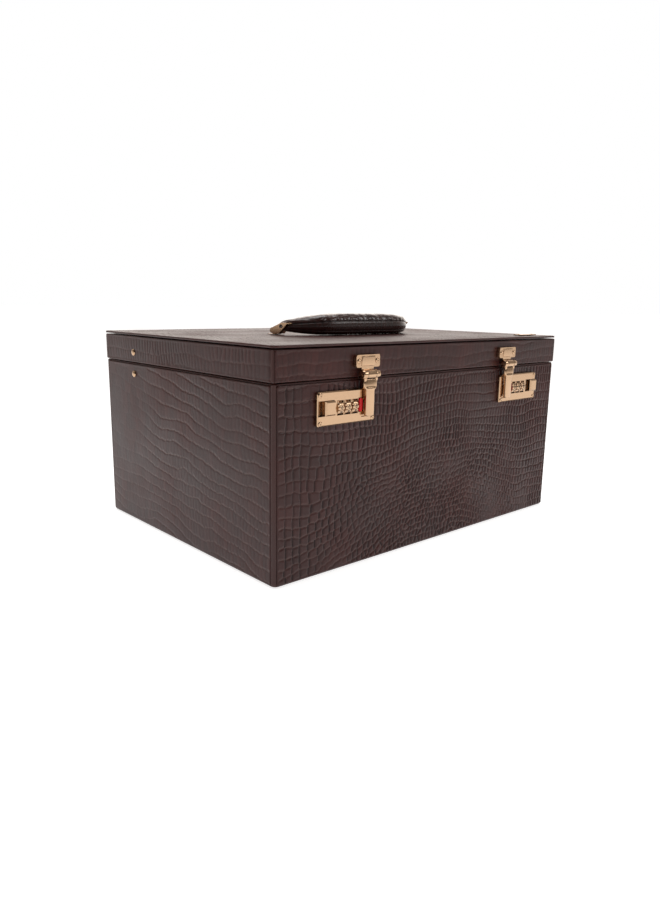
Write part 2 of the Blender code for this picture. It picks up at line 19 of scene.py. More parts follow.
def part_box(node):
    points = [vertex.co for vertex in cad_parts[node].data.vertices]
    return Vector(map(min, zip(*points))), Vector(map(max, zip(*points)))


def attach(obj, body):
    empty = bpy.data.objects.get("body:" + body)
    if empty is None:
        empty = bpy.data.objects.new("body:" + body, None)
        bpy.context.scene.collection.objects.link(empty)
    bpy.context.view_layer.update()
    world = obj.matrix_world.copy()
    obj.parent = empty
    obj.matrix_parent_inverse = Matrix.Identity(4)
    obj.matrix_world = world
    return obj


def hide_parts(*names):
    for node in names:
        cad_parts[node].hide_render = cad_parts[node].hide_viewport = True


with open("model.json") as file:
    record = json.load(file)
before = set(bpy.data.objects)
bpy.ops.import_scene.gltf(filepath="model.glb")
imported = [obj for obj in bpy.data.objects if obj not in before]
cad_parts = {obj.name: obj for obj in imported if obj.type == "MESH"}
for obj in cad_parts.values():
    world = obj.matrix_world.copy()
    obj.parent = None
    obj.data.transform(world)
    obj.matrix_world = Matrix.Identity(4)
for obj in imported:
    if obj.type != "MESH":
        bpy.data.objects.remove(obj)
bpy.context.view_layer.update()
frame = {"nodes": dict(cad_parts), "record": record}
MM = 0.001


def corners(node):
    """A frame node's lowest and highest corners, in millimetres."""
    low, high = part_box(node)
    return np.array(low) / MM, np.array(high) / MM


# %% [markdown]
# ## Camera, floor and light
#
# The case is seen from its front left corner, a little above the lid, from close by, so the
# vertical edges lean in and the lid shows only as a thin bright strip. It stands on a light
# table, a sheet of white acrylic lit from below, which leaves nearly no shadow. The far side
# of the room is white, and the side where the camera stands is dim, which gives the gold its
# dark edges. Standard colour
# management keeps white paper white and leather as dark as its own colour.

# %% Camera
CAMERA_PLACE = Vector((-443.7, -486.9, 195.1)) * MM
CAMERA_YAW, CAMERA_PITCH, CAMERA_ROLL = (math.radians(turn) for turn in (41.934, 11.91, -0.9055))
CAMERA_LENS, SENSOR_WIDTH = 27.83, 36.0


def camera_axes(yaw, pitch, roll):
    """Right, up and backward axes: level ones turned by the yaw, tipped by the pitch, rolled."""
    right = Vector((math.cos(yaw), -math.sin(yaw), 0))
    up = Vector((math.sin(pitch) * math.sin(yaw), math.sin(pitch) * math.cos(yaw), math.cos(pitch)))
    ahead = Vector((math.cos(pitch) * math.sin(yaw), math.cos(pitch) * math.cos(yaw), -math.sin(pitch)))
    c, s = math.cos(roll), math.sin(roll)
    return right * c - up * s, right * s + up * c, -ahead


camera_data = bpy.data.cameras.new("camera")
camera_data.lens = CAMERA_LENS
camera_data.sensor_width = SENSOR_WIDTH
camera_data.clip_start = 0.01
camera = bpy.data.objects.new("camera", camera_data)
bpy.context.scene.collection.objects.link(camera)
turn = Matrix(camera_axes(CAMERA_YAW, CAMERA_PITCH, CAMERA_ROLL)).transposed().to_4x4()
camera.matrix_world = Matrix.Translation(CAMERA_PLACE) @ turn
bpy.context.scene.camera = camera
print("camera with a", CAMERA_LENS, "mm lens")


# %% Helpers for colours and nodes
def linear(code):
    """A hex sRGB colour as the linear red, green, blue and alpha that a shader expects."""
    srgb = np.array([int(code[i:i + 2], 16) for i in (1, 3, 5)]) / 255
    value = np.where(srgb <= 0.04045, srgb / 12.92, ((srgb + 0.055) / 1.055) ** 2.4)
    return (*value.tolist(), 1.0)


def node(tree, kind, settings=None, **inputs):
    """Adds a shader node; an input that is a socket is linked, any other value is set."""
    made = tree.nodes.new("ShaderNode" + kind)
    for key, value in (settings or {}).items():
        setattr(made, key, value)
    for key, value in inputs.items():
        socket = made.inputs[int(key[1:])] if key[1:].isdigit() else made.inputs[key.replace("_", " ")]
        if isinstance(value, bpy.types.NodeSocket):
            tree.links.new(value, socket)
        else:
            socket.default_value = value
    return made


def material(name, **surface):
    """A new material with a Principled surface; returns it with its tree and that node."""
    mat = bpy.data.materials.new(name)
    mat.use_nodes = True
    mat.node_tree.nodes.clear()
    shader = node(mat.node_tree, "BsdfPrincipled", **surface)
    node(mat.node_tree, "OutputMaterial", Surface=shader.outputs[0])
    return mat, mat.node_tree, shader


def ramp(tree, factor, stops):
    """A colour ramp from (place, hex colour) stops."""
    made = node(tree, "ValToRGB", Fac=factor)
    points = made.color_ramp.elements
    while len(points) < len(stops):
        points.new(0.5)
    for point, (place, code) in zip(points, stops):
        point.position, point.color = place, linear(code)
    return made.outputs[0]


# %% World: a white room with one dim side
TOWARD_CAMERA = (-0.66, -0.73, 0.18)
SIDE_SHARE = 0.165  # the side walls' brightness as a share of the bright and dim ends' sum


def studio_world(bright, dim):
    """White behind the case and dim before it; the backdrop itself is seen plain white.

    The level falls with the cosine toward the camera's side: from bright to the sides' level
    over -0.95 to -0.35, and on to dim over -0.1 to 0.75.
    """
    world = bpy.data.worlds.new("white_room")
    world.use_nodes = True
    tree = world.node_tree
    tree.nodes.clear()
    direction = node(tree, "TexCoord").outputs["Generated"]
    dot = node(tree, "VectorMath", {"operation": "DOT_PRODUCT"}, _0=direction, _1=TOWARD_CAMERA)
    facing = dot.outputs["Value"]
    side = (bright + dim) * SIDE_SHARE
    behind = node(tree, "MapRange", Value=facing, _1=-0.95, _2=-0.35, _3=bright, _4=side).outputs[0]
    before = node(tree, "MapRange", Value=facing, _1=-0.1, _2=0.75, _3=1.0, _4=dim / side).outputs[0]
    level = node(tree, "Math", {"operation": "MULTIPLY"}, _0=behind, _1=before).outputs[0]
    room = node(tree, "Background", Color=linear("#fff6ee"), Strength=level)
    backdrop = node(tree, "Background", Color=linear("#ffffff"), Strength=1.0)
    seen = node(tree, "LightPath").outputs["Is Camera Ray"]
    both = node(tree, "MixShader", _0=seen, _1=room.outputs[0], _2=backdrop.outputs[0])
    node(tree, "OutputWorld", Surface=both.outputs[0])
    bpy.context.scene.world = world


def softbox(name, place, aim, width, height, power):
    """A rectangular soft light at a place in metres, turned to its aim."""
    data = bpy.data.lights.new(name, "AREA")
    data.shape, data.size, data.size_y, data.energy = "RECTANGLE", width, height, power
    light = bpy.data.objects.new(name, data)
    bpy.context.scene.collection.objects.link(light)
    light.location = place
    light.rotation_euler = (Vector(aim) - Vector(place)).to_track_quat("-Z", "Y").to_euler()


bpy.context.scene.view_settings.view_transform = "Standard"
studio_world(2.0, 0.07)
softbox("overhead", (0.0, 0.1, 1.5), (0, 0, 0), 1.4, 1.0, 16)
softbox("front_right", (1.0, -1.3, 1.0), (0, 0, 0.05), 0.7, 0.5, 5)
print("one world and two softboxes")

# %% [markdown]
# ## From arrays to meshes
#
# A grid of points becomes a mesh in one step: the points are an array of shape
# (rows, columns, 3), and each face joins four neighbours. `attribute` keeps a number on every
# point, such as how deep in a crease it lies, so that a material can read it later.

# %% Mesh helpers
def grid_faces(rows, cols, wrap=False):
    """Four corners of every cell of a rows by cols grid; wrap joins the last column to the first."""
    index = np.arange(rows * cols).reshape(rows, cols)
    right = np.roll(index, -1, 1) if wrap else index[:, 1:]
    left = index if wrap else index[:, :-1]
    return np.stack([left[:-1], left[1:], right[1:], right[:-1]], -1).reshape(-1, 4)


def make_mesh(name, points, quads, extra=()):
    """A mesh from points in millimetres, an array of quads and a list of other faces."""
    mesh = bpy.data.meshes.new(name)
    points = np.asarray(points, np.float32).reshape(-1, 3) * MM
    quads = np.asarray(quads, np.int32).reshape(-1, 4)
    sizes = np.concatenate([np.full(len(quads), 4), [len(f) for f in extra]]).astype(np.int32)
    loops = np.concatenate([quads.ravel()] + [np.asarray(f, np.int32) for f in extra]).astype(np.int32)
    mesh.vertices.add(len(points))
    mesh.vertices.foreach_set("co", points.ravel())
    mesh.loops.add(len(loops))
    mesh.loops.foreach_set("vertex_index", loops)
    mesh.polygons.add(len(sizes))
    mesh.polygons.foreach_set("loop_start", np.concatenate([[0], np.cumsum(sizes)[:-1]]).astype(np.int32))
    mesh.polygons.foreach_set("use_smooth", np.ones(len(sizes), bool))
    mesh.update(calc_edges=True)
    mesh.validate()
    return mesh


def mark(mesh, row_mark, column_mark, tone, extra, used=slice(None)):
    """The pattern's marks and tone on a mesh's points; the extra points after them are plain."""
    marks = (("row_mark", row_mark, 0), ("column_mark", column_mark, 0), ("tone", tone, 0.5))
    for name, values, plain in marks:
        values = np.append(values.ravel(), np.full(extra, plain))[used].astype(np.float32)
        mesh.attributes.new(name, "FLOAT", "POINT").data.foreach_set("value", values)


def show(name, mesh, body, mat, replaces=(), sharp=None):
    """Puts a finished mesh in the scene, on its body and with its material."""
    piece = bpy.data.objects.new(name, mesh)
    bpy.context.scene.collection.objects.link(piece)
    mesh.materials.append(mat)
    if sharp:
        mesh.set_sharp_from_angle(angle=math.radians(sharp))
    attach(piece, body)
    if replaces:
        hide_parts(*replaces)
    return piece


# %% [markdown]
# ## Embossed leather
#
# The hide is calf leather, plated under heat with a reptile pattern and glazed. The pattern
# has long wavy rows that cross the panel, split by short creases into scales: tall blocks at
# one end, narrow ones in the middle and small uneven ones near the belly. An image of a real
# hide would repeat and carry its own lighting, so we work the pattern out as a height for
# every point. Two smooth coordinates count the rows and the scales. In that counted space a
# scale's centre lies near the middle of each unit cell, and a crease runs wherever two
# centres are equally near: a Voronoi pattern on a lattice that bends.

# %% Smooth noise on arrays
def smooth_noise(u, v, cell, seed):
    """Value noise: random numbers on a square lattice, blended by the smooth step 3t^2 - 2t^3."""
    table = np.random.default_rng(seed).uniform(-1, 1, (64, 64))
    a, b = u / cell, v / cell
    i, j = np.floor(a).astype(int), np.floor(b).astype(int)
    s, t = a - i, b - j
    s, t = s * s * (3 - 2 * s), t * t * (3 - 2 * t)
    corner = lambda di, dj: table[(i + di) % 64, (j + dj) % 64]
    low = corner(0, 0) * (1 - s) + corner(1, 0) * s
    high = corner(0, 1) * (1 - s) + corner(1, 1) * s
    return low * (1 - t) + high * t


def scatter(i, j, seed):
    """A repeatable random number from 0 to 1 for each pair of whole numbers."""
    table = np.random.default_rng(seed).uniform(0, 1, (101, 103))
    return table[i.astype(int) % 101, j.astype(int) % 103]


def eased(value, start, end):
    """A smooth step from 0 at start to 1 at end."""
    t = np.clip((value - start) / (end - start), 0, 1)
    return t * t * (3 - 2 * t)


def counted(value, length, widths):
    """How many scales lie between 0 and a point: the running total of 1 / width.

    The widths are set at even knots from 0 to the length, and hold past both ends.
    """
    margin = 150  # mm; no bend of the rows carries a point further than this past the panel
    fine = np.linspace(-margin, length + margin, 800)
    rate = 1 / np.interp(fine, np.linspace(0, length, len(widths)), widths)
    total = np.concatenate([[0], np.cumsum((rate[1:] + rate[:-1]) / 2 * np.diff(fine))])
    return np.interp(value, fine, total) - np.interp(0, fine, total)


# %% The scale pattern
# widths: scale widths along the panel, in mm. rows: row heights down its left, middle and
# right. slope, sag, wave: how far the rows fall, dip and wander. blocks: tall square scales
# at the left end. belly: small uneven scales low down. calm: a smoother left part.
SCALE_STYLE = dict(
    seed=1, widths=(5.0, 4.5, 5.0), rows=((9, 8, 7),) * 3, slope=0.0, sag=(0.0, 100.0, 50.0),
    wave=3.0, blocks=0.0, belly=0.4, calm=0.0, row_mark=1.0, column_mark=1.0, relief=1.0)


def scales(u, v, size, **changes):
    """Embossed scales at points (u, v) of a panel: their height, row and column marks, and tone.

    The row count mixes three counts down the panel, for its left, middle and right; the column
    count runs along it. For the two nearest scale centres a and b the distance to the crease is
    d = (|p - b|^2 - |p - a|^2) / (2 |a - b|), and the groove is exp(-(d / w)^2). The crown is
    1 - exp(-d / 1.4), where d counts from the row's edge alone if its short creases are faint.
    """
    s = {**SCALE_STYLE, **changes}
    seed, (sag, sag_at, sag_wide) = s["seed"], s["sag"]
    across, down = u / size[0], v / size[1]
    bend = s["wave"] * (smooth_noise(u, v, 46, seed) + 0.5 * smooth_noise(u, v, 19, seed + 1))
    bend = bend + 0.45 * smooth_noise(u, v, 5, seed + 2)
    dip = sag * np.exp(-((u - sag_at) / sag_wide) ** 2) * (1 - 0.8 * eased(down, 0.5, 1.0))
    level = v + bend - dip + s["slope"] * u
    left, right = 1 - eased(across, 0.06, 0.42), eased(across, 0.60, 0.88)
    shares = (left, 1 - left - right, right)
    row_count = sum(share * counted(level, size[1], widths) for share, widths in zip(shares, s["rows"]))
    pitch = sum(share * np.interp(down, (0, 0.5, 1), widths) for share, widths in zip(shares, s["rows"]))

    block = s["blocks"] * (1 - eased(across, 0.06, 0.13))
    belly = s["belly"] * eased(across, 0.12, 0.34) * eased(down, 0.25, 0.6) * (1 - right)
    shift = (1 - block) * 2.0 * smooth_noise(u, v, 22, seed + 3) + 0.5 * smooth_noise(u, v, 6, seed + 4)
    width = np.interp(u, np.linspace(0, size[0], len(s["widths"])), s["widths"])
    column_count = counted(u + shift, size[0], s["widths"])

    best = np.full(u.shape, 1e9)
    second = np.full(u.shape, 1e9)
    near_x, near_y, other_x, other_y, tone = (np.zeros(u.shape) for _ in range(5))
    for dj in (-1, 0, 1):
        j = np.floor(row_count) + dj
        slide = scatter(j, j * 3, seed + 5) * (1 - block)
        for di in (-1, 0, 1):
            i = np.floor(column_count - slide) + di
            jitter_x = (scatter(i, j, seed + 6) - 0.5) * (0.34 + 0.3 * belly)
            jitter_y = (scatter(i, j, seed + 7) - 0.5) * (0.05 + 0.6 * belly * width / pitch)
            x = (column_count - (i + 0.5 + jitter_x + slide)) * width
            y = (row_count - (j + 0.5 + jitter_y)) * pitch
            away = x * x + y * y
            first, next_one = away < best, (away >= best) & (away < second)
            other_x = np.where(first, near_x, np.where(next_one, x, other_x))
            other_y = np.where(first, near_y, np.where(next_one, y, other_y))
            second = np.where(first, best, np.where(next_one, away, second))
            near_x, near_y = np.where(first, x, near_x), np.where(first, y, near_y)
            tone = np.where(first, scatter(i, j, seed + 8), tone)
            best = np.where(first, away, best)
    apart = np.hypot(near_x - other_x, near_y - other_y) + 1e-6
    crease = (second - best) / (2 * apart)
    rowness = eased(np.abs(near_y - other_y) / apart, 0.5, 0.85)

    patch = smooth_noise(u, v, 34, seed + 9)
    calm = 1 - s["calm"] * (1 - eased(across, 0.15, 0.45)) * (1 - 0.5 * eased(down, 0.4, 0.8))
    row_depth = calm * s["row_mark"] * np.clip(0.75 + 0.5 * patch, 0.15, 1.1)
    column_depth = calm * s["column_mark"] * np.clip(0.7 + 0.55 * smooth_noise(u, v, 27, seed + 10), 0.1, 1.1)
    row_line = rowness * np.exp(-(crease / 0.5) ** 2) * row_depth
    column_line = (1 - rowness) * np.exp(-(crease / 0.5) ** 2) * column_depth
    groove = np.maximum(rowness * np.exp(-(crease / 0.9) ** 2) * row_depth,
                        (1 - rowness) * np.exp(-(crease / 0.75) ** 2) * column_depth)
    to_row = np.abs(row_count - np.round(row_count)) * pitch
    split = np.clip(1.6 * column_depth, 0, 1)
    crown = 1 - np.exp(-(crease * split + to_row * (1 - split)) / 1.4)
    wrinkle = smooth_noise(u, v, 2.1, seed + 11) + 0.5 * smooth_noise(u, v, 1.2, seed + 12)
    height = s["relief"] * (0.20 * calm * crown - 0.45 * groove + 0.04 * wrinkle + 0.06 * (tone - 0.5))
    return height, row_line, column_line, 0.6 * tone + 0.4 * (0.5 + 0.5 * patch)


# %% [markdown]
# A panel is a sheet with turned edges, laid along a path that may bend round a corner. Its
# points lie closer together where the edge rolls over, so that the roll is round. Its face
# is lowered by the pattern, a wall of points goes down to the board behind, and a flat back
# closes it. The front panel also has a window for each lock.

# %% Panels
def edge_spaced(length, step, roll, stops=()):
    """Places from 0 to length: close together where the edge rolls over, even between."""
    turn = roll * (1 - np.cos(np.linspace(0, math.pi / 2, 5)))
    inner = np.linspace(roll, length - roll, max(2, int(round((length - 2 * roll) / step)) + 1))[1:-1]
    for stop in stops:
        inner[np.argmin(np.abs(inner - stop))] = stop
    return np.concatenate([turn, inner, length - turn[::-1]])


def rolled(du, dv, roll):
    """How far a rounded edge has dropped at distances du and dv from the two nearest edges."""
    a, b = np.clip(roll - du, 0, roll), np.clip(roll - dv, 0, roll)
    return roll - np.sqrt(np.clip(roll ** 2 - a ** 2 - b ** 2, 0, None))


def rectangle_rim(index, i0, i1, j0, j1):
    """The grid's point numbers round a rectangle of it, in order."""
    return np.concatenate([index[i0:i1, j0], index[i1, j0:j1], index[i1:i0:-1, j1], index[i0, j1:j0:-1]])


def flat_path(start, along, out):
    """A flat wall's path: the place start + u along + v down, and the outward direction."""
    down = np.cross(along, out) if abs(out[2]) < 0.5 else np.array((0.0, -1.0, 0.0))
    return lambda u, v: (start + u[..., None] * along + v[..., None] * down,
                         np.broadcast_to(out, (*u.shape, 3)))


def panel_mesh(name, path, size, thick, pattern, step=0.7, roll=1.0, depth=1.0, windows=(), bent=False):
    """A closed leather sheet: face = path(u, v) - drop(u, v) out, then its walls and its back.

    The drop is the pattern's depth below its crowns plus the fall of the rolled edge. A bent
    sheet has its whole grid again as its back, so that the back follows the bend.
    """
    us = edge_spaced(size[0], step, roll, [s for w in windows for s in w[0]])
    vs = edge_spaced(size[1], step, roll, [s for w in windows for s in w[1]])
    u, v = np.meshgrid(us, vs, indexing="ij")
    height, row_mark, column_mark, tone = pattern(u, v)
    inset = np.minimum(np.minimum(u, size[0] - u), np.minimum(v, size[1] - v))
    inside = eased(inset, 0.3, 2.0)
    fall = rolled(np.minimum(u, size[0] - u), np.minimum(v, size[1] - v), roll)
    drop = np.clip((0.16 - height) * depth * inside + fall, 0, thick * 0.92)
    place, out = path(u, v)
    face, behind = (place - drop[..., None] * out).reshape(-1, 3), (place - thick * out).reshape(-1, 3)
    rows, cols = u.shape
    index = np.arange(rows * cols).reshape(rows, cols)
    keep = np.ones((rows - 1, cols - 1), bool)
    rims = [rectangle_rim(index, 0, rows - 1, 0, cols - 1)]
    for (u0, u1), (v0, v1) in windows:
        i0, i1 = np.searchsorted(us, (u0 - 0.01, u1 - 0.01))
        j0, j1 = np.searchsorted(vs, (v0 - 0.01, v1 - 0.01))
        keep[i0:i1, j0:j1] = False
        rims.append(rectangle_rim(index, i0, i1, j0, j1)[::-1])
    quads = grid_faces(rows, cols).reshape(rows - 1, cols - 1, 4)[keep]
    faces, cap = [quads[:, ::-1]], []
    if bent:
        back, owns = behind, [rows * cols + rims[0]]
        faces.append(quads + rows * cols)
    else:
        back = np.concatenate([behind[rim] for rim in rims])
        starts = rows * cols + np.cumsum([0] + [len(rim) for rim in rims])
        owns = [first + np.arange(len(rim)) for first, rim in zip(starts, rims)]
        flat = [[Vector((a, b, 0)) for a, b in zip(u.ravel()[rim], v.ravel()[rim])] for rim in rims]
        cap = np.concatenate(owns)[np.array(tessellate_polygon(flat))]
    for rim, own in zip(rims, owns):
        faces.append(np.stack([rim, np.roll(rim, -1), np.roll(own, -1), own], -1))
    points = np.concatenate([face, back])
    if len(cap):
        a, b, c = (points[cap[:, k]] for k in range(3))
        wrong = np.einsum("ij,j->i", np.cross(b - a, c - a), out[0, 0]) > 0
        cap[wrong] = cap[wrong][:, ::-1]
    quads = np.concatenate(faces)
    used = np.unique(np.concatenate([quads.ravel(), np.ravel(cap)]).astype(int))
    renumber = np.zeros(len(points), int)
    renumber[used] = np.arange(len(used))
    mesh = make_mesh(name, points[used], renumber[quads], renumber[cap] if len(cap) else [])
    mark(mesh, row_mark * inside, column_mark * inside, tone, len(back), used)
    return mesh


# %% [markdown]
# The leather itself is calf coloured with aniline dye, with a hot-plated, glazed finish: a
# very dark red-brown body under a soft gloss. The short creases are painted darker, a painted
# shade for the crease walls shading each other, and the long row creases are painted paler, a
# painted highlight for their lips catching the light from above. Under it all lies a fine pore grain.
# The corners of the case are wrapped in plain calf of the same dye.

# %% Leather materials
PORE = 0.7  # mm; real pores are about 0.2 mm apart, drawn coarser so that they show
CLOUD = 45.0  # mm across the slow changes of dye that a dipped hide has
# The first colour is painted shade for the short creases, the second a painted highlight for the long row
# creases.
CREASE_SHADE, CREASE_HIGHLIGHT = "#120605", "#715a55"


def leather_material(name, colours, roughness, coat=0.0, bump=0.35, crease_highlight=CREASE_HIGHLIGHT, gloss=0.5):
    """Dyed leather: a tone ramp, painted shade in the short creases, a painted highlight on the row creases
    and a pore grain.
    """
    mat, tree, shader = material(name, Specular_IOR_Level=gloss, Coat_Weight=coat,
                                 Coat_Roughness=0.16, IOR=1.5)
    place = node(tree, "TexCoord").outputs["Object"]
    tone = node(tree, "Attribute", {"attribute_name": "tone"}).outputs["Fac"]
    rows = node(tree, "Attribute", {"attribute_name": "row_mark"}).outputs["Fac"]
    columns = node(tree, "Attribute", {"attribute_name": "column_mark"}).outputs["Fac"]
    cloud = node(tree, "TexNoise", Vector=place, Scale=1 / (CLOUD * MM), Detail=4.0).outputs["Fac"]
    mixed = node(tree, "Mix", {"data_type": "FLOAT"}, _0=0.62, _2=tone, _3=cloud).outputs[0]
    colour = ramp(tree, mixed, tuple(zip((0.25, 0.5, 0.75), colours)))
    # Painted shade: the column mark darkens the short creases toward the crease shade colour.
    crease_shaded = node(tree, "Mix", {"data_type": "RGBA"}, _0=columns, _6=colour, _7=linear(CREASE_SHADE)).outputs[2]
    # Painted highlight: half the row mark lightens the colour toward the pale crease highlight colour.
    highlight_share = node(tree, "Math", {"operation": "MULTIPLY"}, _0=rows, _1=0.5).outputs[0]
    painted_crease_colour = node(tree, "Mix", {"data_type": "RGBA"}, _0=highlight_share, _6=crease_shaded, _7=linear(crease_highlight)).outputs[2]
    tree.links.new(painted_crease_colour, shader.inputs["Base Color"])
    pores = node(tree, "TexNoise", Vector=place, Scale=1 / (PORE * MM), Detail=2.0).outputs["Fac"]
    patch = node(tree, "Math", {"operation": "MULTIPLY_ADD"}, _0=pores, _1=0.35, _2=cloud).outputs[0]
    rough = node(tree, "MapRange", Value=patch, _1=0.35, _2=1.0, _3=roughness - 0.10, _4=roughness + 0.12)
    rougher = node(tree, "Math", {"operation": "MULTIPLY_ADD"}, _0=columns, _1=0.3, _2=rough.outputs[0])
    tree.links.new(rougher.outputs[0], shader.inputs["Roughness"])
    grain = node(tree, "Bump", Height=pores, Strength=bump, Distance=0.08 * MM).outputs[0]
    tree.links.new(grain, shader.inputs["Normal"])
    return mat


# Hot-plated calf: an even satin gloss that shows the relief by its soft highlights.
CROC = leather_material("glazed_embossed_calf", ("#2f1310", "#3a1916", "#46201c"), 0.36, gloss=0.29)
# Skived plain calf, turned over the corners: a little paler and duller, with open pores.
WRAP = leather_material("smooth_calf_wrap", ("#3d1d19", "#48251f", "#522d27"), 0.42, gloss=0.4, bump=0.5)
# Calf glazed with agate and polished by hands: nearly black, with a clear shine.
# The grip's row creases take a dimmer painted highlight than the embossed panels.
GRIP = leather_material("glazed_grip_calf", ("#240b09", "#32130f", "#401d18"), 0.25, coat=0.3, gloss=0.45,
                        crease_highlight="#54403b")
print("leathers:", CROC.name, WRAP.name, GRIP.name)

# %% Leather panels on the body
UP = np.array((0.0, 0.0, 1.0))
OUTWARD = {"front": (0, -1, 0), "back": (0, 1, 0), "left": (-1, 0, 0), "right": (1, 0, 0)}
BODY_STYLE = {
    "front": dict(seed=11, widths=(7, 6.2, 5.0, 4.4, 4.0, 3.8, 4.2, 4.4, 4.4),
                  rows=((10.2, 8.6, 5.6), (8.6, 4.8, 5.6), (9.5, 7.6, 6.6)),
                  sag=(11.0, 105.0, 55.0), wave=3.5, blocks=1.0, belly=1.0, row_mark=0.9, relief=1.6),
    "back": dict(seed=23, widths=(6, 4.6, 4.2, 4.0, 4.2, 4.6, 6.4), rows=((9, 8, 7), (8, 6, 6), (10, 9, 7)),
                 wave=4.0, belly=0.7),
    "left": dict(seed=37, widths=(6, 5.4, 5.0, 4.6, 4.4), rows=((11, 10, 9), (10, 9, 8.5), (9, 8.5, 8.5)),
                 slope=-0.17, wave=5.0, calm=0.85, column_mark=0.22, relief=0.65),
    "right": dict(seed=41, widths=(4.4, 4.6, 5.0, 5.4, 6), rows=((10, 9.5, 9.5), (12, 12, 12), (13, 12, 12)),
                  slope=0.12, wave=5.0, column_mark=0.3, relief=0.8),
}


def wall_panel(node_name, side, style, windows=(), **making):
    """Leather over one upright frame panel, from its top left corner as seen from outside."""
    low, high = corners(node_name)
    out = np.array(OUTWARD[side], float)
    along = np.cross(UP, out)
    surface = np.where(out > 0.5, high, low) * np.abs(out)
    start = surface + np.where(along > 0.5, low, high) * np.abs(along) + high * UP
    size = (np.abs(along) @ (high - low), high[2] - low[2])
    pattern = lambda u, v: scales(u, v, size, **style)
    return panel_mesh(node_name + "_hide", flat_path(start, along, out), size, np.abs(out) @ (high - low),
                      pattern, windows=windows, **making)


def lock_windows(gap=0.3):
    """The lock cases' outlines on the front panel, as distances from its top left corner."""
    low, high = corners("body_front_leather")
    cases = [corners("lock_case_" + side) for side in ("left", "right")]
    return [((a[0] - low[0] - gap, b[0] - low[0] + gap), (high[2] - b[2] - gap, high[2] - a[2] + gap))
            for a, b in cases]


for side, style in BODY_STYLE.items():
    node_name = f"body_{side}_leather"
    hide = wall_panel(node_name, side, style, lock_windows() if side == "front" else (),
                      step=0.7 if side in ("front", "left") else 0.9)
    show(node_name + "_hide", hide, "case", CROC, (node_name,))
    print(node_name, len(hide.polygons), "faces")

# %% Leather on the lid
LID_STYLE = {
    "front": dict(seed=53, widths=(5, 5, 4.6, 4.2, 4.4, 4.2), rows=((9, 8, 7), (11, 9, 7), (8, 8, 7)),
                  wave=3.0, row_mark=0.45, column_mark=0.4, relief=0.6),
    "back": dict(seed=59, widths=(4.6, 4.6, 4.2, 4.4, 4.6), rows=((9, 8, 7), (8, 8, 7), (9, 8, 7)),
                 relief=0.6),
}
for side, seed in (("left", 61), ("right", 71)):
    LID_STYLE[side] = dict(seed=seed, widths=(5, 4.4, 4.4, 4.6), rows=((12, 10, 9),) * 3, row_mark=0.35,
                           column_mark=0.5, relief=0.6)
for side in ("front", "back"):
    node_name = f"lid_{side}_leather"
    hide = wall_panel(node_name, side, LID_STYLE[side], step=0.7)
    show(node_name + "_hide", hide, "lid", CROC, (node_name,))


WRAP_THICKNESS = 0.6


def lid_side_path(side, radius=4.0, proud=0.35):
    """The lid's side from its front sheet round two rounded corners to its back sheet.

    The path is an arc of the corner's radius, a straight run and a second arc; u is the
    length along it. Seen from outside it runs left to right, so the left side starts at
    the back.
    """
    low, high = corners("lid_shell")
    sheet = corners("lid_front_leather")[1][0]
    tuck = math.asin((sheet + 0.3 - (high[0] - radius)) / radius)
    bend = math.pi / 2 - tuck
    arc, run = bend * radius, high[1] - low[1] - 2 * radius
    mirror = -1 if side == "left" else 1

    def path(u, v):
        first, last = np.clip(u, 0, arc), np.clip(u - arc - run, 0, arc)
        angle = -bend + (first + last) / radius
        along_y = low[1] + radius + np.clip(u - arc, 0, run)
        out = np.stack([np.cos(angle), np.sin(angle), np.zeros_like(u)], -1)
        centre = np.stack([np.full_like(u, high[0] - radius), along_y, high[2] - 0.2 - v], -1)
        place = centre + out * (radius + proud)
        flip = np.array((mirror, mirror, 1.0))
        return place * flip, out * flip

    return path, (2 * arc + run, high[2] - low[2] - 0.5)


for side in ("left", "right"):
    path, size = lid_side_path(side)
    pattern = lambda u, v: scales(u, v, size, **LID_STYLE[side])
    hide = panel_mesh(f"lid_{side}_wrap", path, size, WRAP_THICKNESS, pattern, roll=0.4, bent=True)
    show(f"lid_{side}_wrap", hide, "lid", CROC)


def round_corners(u, v, size, radius):
    """Pulls a rectangle's corners in to arcs: in each corner square, p becomes p max(p) / |p|."""
    sides = ((u, size[0]), (v, size[1]))
    a, b = (np.clip(np.abs(w - s / 2) - (s / 2 - radius), 0, radius) for w, s in sides)
    shrink = np.where(a * b > 0, np.maximum(a, b) / np.maximum(np.hypot(a, b), 1e-9), 1)
    return [w + np.sign(w - s / 2) * part * (shrink - 1) for (w, s), part in zip(sides, (a, b))]


def top_panel():
    """The lid's top board: a wrapped sheet over the whole lid with a rounded edge all round."""
    low, high = corners("lid_top_panel")
    size = (high[0] - low[0], high[1] - low[1])
    style = dict(seed=67, widths=(5, 4.4, 4.0, 4.0, 4.4, 5), rows=((9, 8, 7), (8, 7, 7), (9, 8, 7)), wave=5.0,
                 relief=0.7)
    flat = flat_path(np.array((low[0], high[1], high[2])), np.array((1.0, 0, 0)), UP)
    return panel_mesh("lid_top_hide", lambda u, v: flat(*round_corners(u, v, size, 4.0)), size, 1.8,
                      lambda u, v: scales(u, v, size, **style), step=1.0, roll=0.9)


top = show("lid_top_hide", top_panel(), "lid", CROC, ("lid_top_panel",))
print("lid top:", len(top.data.polygons), "faces")

# %% [markdown]
# ## Metals, cloths and mirror
#
# The fittings are plated and buffed, the inside is lined with microsuede and velvet, and a
# mirror sits in the lid. A plain colour would look like paint, so the metals' roughness
# varies, as a buffing wheel leaves it, and the cloths have a nap with sheen. The frame's
# nodes that keep their own shape take these finishes by their material slots.

# %% Finishes
RUBS_PER_METRE = 600.0


